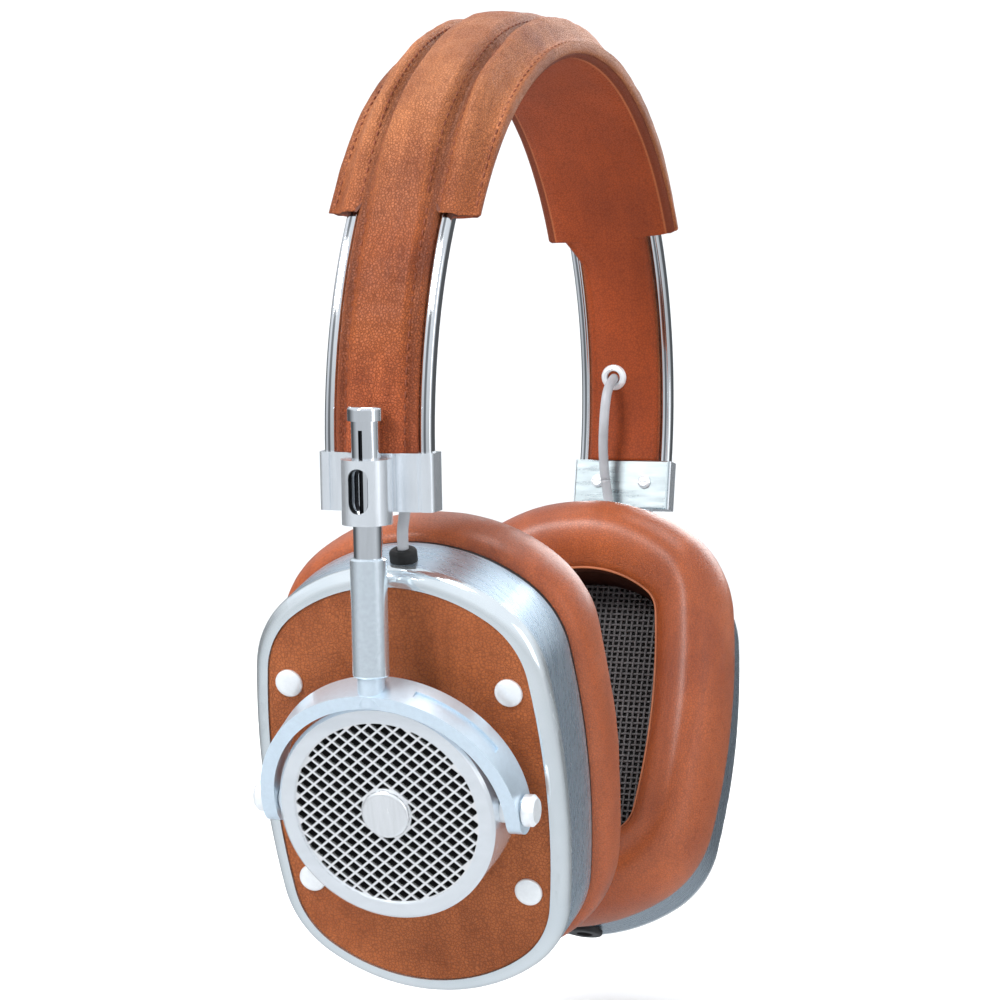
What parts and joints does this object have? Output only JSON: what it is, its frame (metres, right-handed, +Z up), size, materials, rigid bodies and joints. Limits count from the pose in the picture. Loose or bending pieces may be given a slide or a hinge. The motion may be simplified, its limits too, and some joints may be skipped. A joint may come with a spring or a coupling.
{
  "type": "over-ear headphones",
  "caption": "Over-ear headphones with a padded leather headband, sliding rods, swivelling yokes and tilting oval ear cups with a round metal grille.",
  "frame": {"origin": "middle of the headband's inner face, where it rests on the head", "axes": "+X from the wearer's left ear to the right ear, -Y to the front, +Z up"},
  "size_m": [0.175, 0.0713, 0.1997],
  "materials": {
    "cover_leather": "pebbled tan leather",
    "liner_leather": "smooth darker brown leather",
    "pad_leather": "smooth soft tan leather over foam",
    "foam": "dark padding",
    "band_steel": "polished spring steel",
    "bracket_metal": "fine brushed",
    "rod_chrome": "polished",
    "sleeve_metal": "satin",
    "yoke_metal": "satin bead blasted",
    "cup_metal": "satin wall with a polished bevel",
    "drum_metal": "satin",
    "grille_metal": "punched",
    "screw_metal": "domed, polished",
    "badge_metal": "blank, fine ground",
    "black_cloth": "acoustic cloth",
    "mesh_cloth": "coarse woven mesh",
    "black_plastic": "moulded",
    "driver_film": "thin film",
    "magnet_steel": "plated",
    "black_rubber": "moulded",
    "cable_jacket": "light grey jacket",
    "button_metal": "satin"
  },
  "bodies": {
    "headband": {"headband_liner": "liner_leather", "headband_core": "foam", "headband_cover": "cover_leather", "band_front": "band_steel", "band_rear": "band_steel", "bracket_right": "bracket_metal", "bracket_plate_right": "bracket_metal", "bracket_screws_right": "screw_metal", "eyelet_right": "screw_metal", "link_cable_right": "cable_jacket", "bracket_left": "bracket_metal", "bracket_plate_left": "bracket_metal", "bracket_screws_left": "screw_metal", "eyelet_left": "screw_metal", "link_cable_left": "cable_jacket"},
    "slider_right": {"slider_rod_right": "rod_chrome", "rod_cap_right": "rod_chrome"},
    "yoke_right": {"rod_sleeve_right": "sleeve_metal", "yoke_right": "yoke_metal"},
    "cup_right": {"pivot_screws_right": "screw_metal", "cup_housing_right": "cup_metal", "leather_panel_right": "cover_leather", "panel_screws_right": "screw_metal", "drum_right": "drum_metal", "grille_right": "grille_metal", "grille_cloth_right": "black_cloth", "badge_right": "badge_metal", "baffle_right": "black_plastic", "driver_basket_right": "black_plastic", "driver_magnet_right": "magnet_steel", "diaphragm_right": "driver_film", "pad_plate_right": "black_plastic", "ear_mesh_right": "mesh_cloth", "ear_pad_right": "pad_leather", "jack_socket_right": "black_plastic", "cable_grommet_right": "black_rubber"},
    "slider_left": {"slider_rod_left": "rod_chrome", "rod_cap_left": "rod_chrome"},
    "yoke_left": {"rod_sleeve_left": "sleeve_metal", "yoke_left": "yoke_metal"},
    "cup_left": {"pivot_screws_left": "screw_metal", "cup_housing_left": "cup_metal", "leather_panel_left": "cover_leather", "panel_screws_left": "screw_metal", "drum_left": "drum_metal", "grille_left": "grille_metal", "grille_cloth_left": "black_cloth", "badge_left": "badge_metal", "baffle_left": "black_plastic", "driver_basket_left": "black_plastic", "driver_magnet_left": "magnet_steel", "diaphragm_left": "driver_film", "pad_plate_left": "black_plastic", "ear_mesh_left": "mesh_cloth", "ear_pad_left": "pad_leather", "jack_socket_left": "black_plastic", "cable_grommet_left": "black_rubber"},
    "mute_button": {"mute_button_right": "button_metal"}
  },
  "joints": [
    {"name": "slide_right", "type": "slide", "parent": "headband", "child": "slider_right", "axis": [0.1184, 0, 0.993], "range_m": [-0.008, 0.0038], "deforming": ["link_cable_right"]},
    {"name": "swivel_right", "type": "hinge", "parent": "slider_right", "child": "yoke_right", "pos_m": [0.07979, 0, -0.10884], "axis": [0.1184, 0, 0.993], "range_deg": [-16.5, 85.5]},
    {"name": "tilt_right", "type": "hinge", "parent": "yoke_right", "child": "cup_right", "pos_m": [0.06407, -0.00085, -0.14887], "axis": [-0.0779, 0.9969, 0.0093], "range_deg": [-14, 4.5]},
    {"name": "slide_left", "type": "slide", "parent": "headband", "child": "slider_left", "axis": [-0.1184, 0, 0.993], "range_m": [-0.0068, 0.005], "deforming": ["link_cable_left"]},
    {"name": "swivel_left", "type": "hinge", "parent": "slider_left", "child": "yoke_left", "pos_m": [-0.07979, 0, -0.10884], "axis": [0.1184, 0, -0.993], "range_deg": [-12, 90]},
    {"name": "tilt_left", "type": "hinge", "parent": "yoke_left", "child": "cup_left", "pos_m": [-0.0639, 0, -0.15005], "axis": [0, -1, 0], "range_deg": [-14, 4.5]},
    {"name": "mute_press", "type": "slide", "parent": "cup_right", "child": "mute_button", "axis": [0.3364, 0.0175, 0.9416], "range_m": [0, 0.0006], "stiffness_N_per_m": 500, "springref_m": -0.0004}
  ]
}
